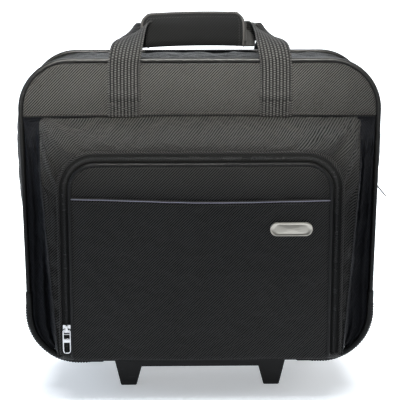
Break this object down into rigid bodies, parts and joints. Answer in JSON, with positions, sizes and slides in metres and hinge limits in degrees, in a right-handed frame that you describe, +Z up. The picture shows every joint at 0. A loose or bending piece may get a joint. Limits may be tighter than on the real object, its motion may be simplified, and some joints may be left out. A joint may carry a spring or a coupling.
{
  "type": "rolling laptop case",
  "caption": "Soft wheeled laptop case with a front organiser pouch, zipped flap, padded carry handle, corner guards and a telescoping pull handle.",
  "frame": {"origin": "on the floor, under the middle of the case", "axes": "+X along the case's width, to the right as seen from the front; the front faces -Y; +Z up"},
  "size_m": [0.4339, 0.1923, 0.45],
  "materials": {
    "nylon": "ballistic nylon twill, near-black charcoal",
    "webbing": "coarse ribbed webbing",
    "lining": "plain padded lining",
    "mesh": "padded nylon back",
    "zip_tape": "woven tape with a nylon coil",
    "loop_pile": "hook-and-loop pile",
    "trim": "shiny cord",
    "piping": "smooth extruded bead",
    "guard": "ribbed moulding",
    "tyre": "matt polyurethane",
    "moulding": "fine-grained moulding",
    "hub": "satin moulding",
    "button": "polished moulding",
    "tube": "satin anodised",
    "steel": "zinc plated",
    "zip_metal": "bright nickel plate",
    "badge_metal": "satin champagne nickel"
  },
  "bodies": {
    "case": {"body_shell": "nylon", "rear_piping": "piping", "back_panel": "mesh", "laptop_sleeve": "lining", "file_divider": "lining", "main_zip_rear_tape": "zip_tape", "hinge_strip": "nylon", "base_tray": "moulding", "front_feet": "moulding", "wheel_housing_left": "moulding", "wheel_housing_right": "moulding", "wheel_axles": "steel", "outer_tube_left": "tube", "outer_tube_right": "tube", "trolley_bezel": "moulding", "tube_bracket": "moulding", "bracket_screws": "steel", "rear_strap_ends": "webbing"},
    "laptop_strap": {"laptop_strap": "webbing"},
    "wheel_left": {"wheel_tyre_left": "tyre", "wheel_hub_left": "hub", "wheel_bearings_left": "steel"},
    "wheel_right": {"wheel_tyre_right": "tyre", "wheel_hub_right": "hub", "wheel_bearings_right": "steel"},
    "trolley_middle": {"middle_tube_left": "tube", "middle_tube_right": "tube", "middle_bridge": "moulding", "middle_lock_blocks": "hub"},
    "middle_pins": {"middle_lock_pins": "steel"},
    "trolley_inner": {"inner_tube_left": "tube", "inner_tube_right": "tube", "trolley_grip": "moulding", "inner_lock_blocks": "hub", "button_spring": "steel"},
    "inner_pins": {"inner_lock_pins": "steel"},
    "release": {"release_button": "button", "release_rods": "steel"},
    "front_section": {"front_panel": "nylon", "front_piping": "piping", "corner_guards": "guard", "organiser_pouch": "nylon", "organiser_panel": "lining", "pocket_zip_outer_tape": "zip_tape", "main_zip_front_tape": "zip_tape", "front_strap_ends": "webbing"},
    "front_handle": {"front_strap_loop": "webbing", "grip_wrap": "nylon", "grip_hook_patch": "loop_pile"},
    "grip_flap": {"grip_flap": "nylon"},
    "rear_handle": {"rear_strap_loop": "webbing"},
    "pocket_flap": {"pocket_flap": "nylon", "pocket_zip_inner_tape": "zip_tape", "slip_pocket": "nylon", "slip_trim": "trim", "badge": "badge_metal"},
    "pocket_slider": {"pocket_slider": "zip_metal"},
    "pocket_pull": {"pocket_pull": "zip_metal"},
    "main_slider": {"main_slider": "zip_metal"},
    "main_pull": {"main_pull": "zip_metal"}
  },
  "joints": [
    {"name": "trolley_stage_1", "type": "slide", "parent": "case", "child": "trolley_middle", "axis": [0, 0, 1], "range_m": [0, 0.255]},
    {"name": "trolley_stage_2", "type": "slide", "parent": "trolley_middle", "child": "trolley_inner", "axis": [0, 0, 1], "range_m": [0, 0.24]},
    {"name": "release_button_press", "type": "slide", "parent": "trolley_inner", "child": "release", "axis": [0, 0, -1], "range_m": [0, 0.004], "stiffness_N_per_m": 900, "springref_m": -0.002, "deforming": ["button_spring"]},
    {"name": "middle_pins_retract", "type": "slide", "parent": "trolley_middle", "child": "middle_pins", "axis": [0, -1, 0], "range_m": [0, 0.0025]},
    {"name": "inner_pins_retract", "type": "slide", "parent": "trolley_inner", "child": "inner_pins", "axis": [0, -1, 0], "range_m": [0, 0.0025]},
    {"name": "wheel_left_spin", "type": "hinge", "parent": "case", "child": "wheel_left", "pos_m": [-0.135, 0.064, 0.032], "axis": [1, 0, 0], "continuous": true},
    {"name": "wheel_right_spin", "type": "hinge", "parent": "case", "child": "wheel_right", "pos_m": [0.135, 0.064, 0.032], "axis": [1, 0, 0], "continuous": true},
    {"name": "front_section_open", "type": "hinge", "parent": "case", "child": "front_section", "pos_m": [0, -0.051, 0.036], "axis": [1, 0, 0], "range_deg": [0, 35], "deforming": ["hinge_strip"]},
    {"name": "pocket_flap_open", "type": "hinge", "parent": "front_section", "child": "pocket_flap", "pos_m": [0, -0.09, 0.054], "axis": [1, 0, 0], "range_deg": [0, 75]},
    {"name": "front_handle_swing", "type": "hinge", "parent": "front_section", "child": "front_handle", "pos_m": [0, -0.0552, 0.409], "axis": [1, 0, 0], "range_deg": [0, 110]},
    {"name": "rear_handle_swing", "type": "hinge", "parent": "case", "child": "rear_handle", "pos_m": [0, 0.087, 0.4], "axis": [-1, 0, 0], "range_deg": [0, 45]},
    {"name": "grip_flap_open", "type": "hinge", "parent": "front_handle", "child": "grip_flap", "pos_m": [0, -0.0155, 0.415], "axis": [1, 0, 0], "range_deg": [0, 100]},
    {"name": "pocket_slider_run", "type": "slide", "parent": "front_section", "child": "pocket_slider", "axis": [0, 0, 1], "range_m": [0, 0.155]},
    {"name": "pocket_pull_swing", "type": "hinge", "parent": "pocket_slider", "child": "pocket_pull", "pos_m": [-0.1595, -0.0924, 0.086], "axis": [-1, 0, 0], "range_deg": [0, 150]},
    {"name": "main_slider_run", "type": "slide", "parent": "case", "child": "main_slider", "axis": [0.015, 0, 0.9999], "range_m": [-0.13, 0.06]},
    {"name": "main_pull_swing", "type": "hinge", "parent": "main_slider", "child": "main_pull", "pos_m": [0.21008, -0.041, 0.25394], "axis": [0, -1, 0], "range_deg": [-20, 110]},
    {"name": "laptop_strap_lift", "type": "hinge", "parent": "case", "child": "laptop_strap", "pos_m": [0, 0.057, 0.337], "axis": [-1, 0, 0], "range_deg": [0, 90]}
  ],
  "couplings": [
    {"joint": "middle_pins_retract", "follows": "release_button_press", "ratio": 0.625},
    {"joint": "inner_pins_retract", "follows": "release_button_press", "ratio": 0.625}
  ]
}
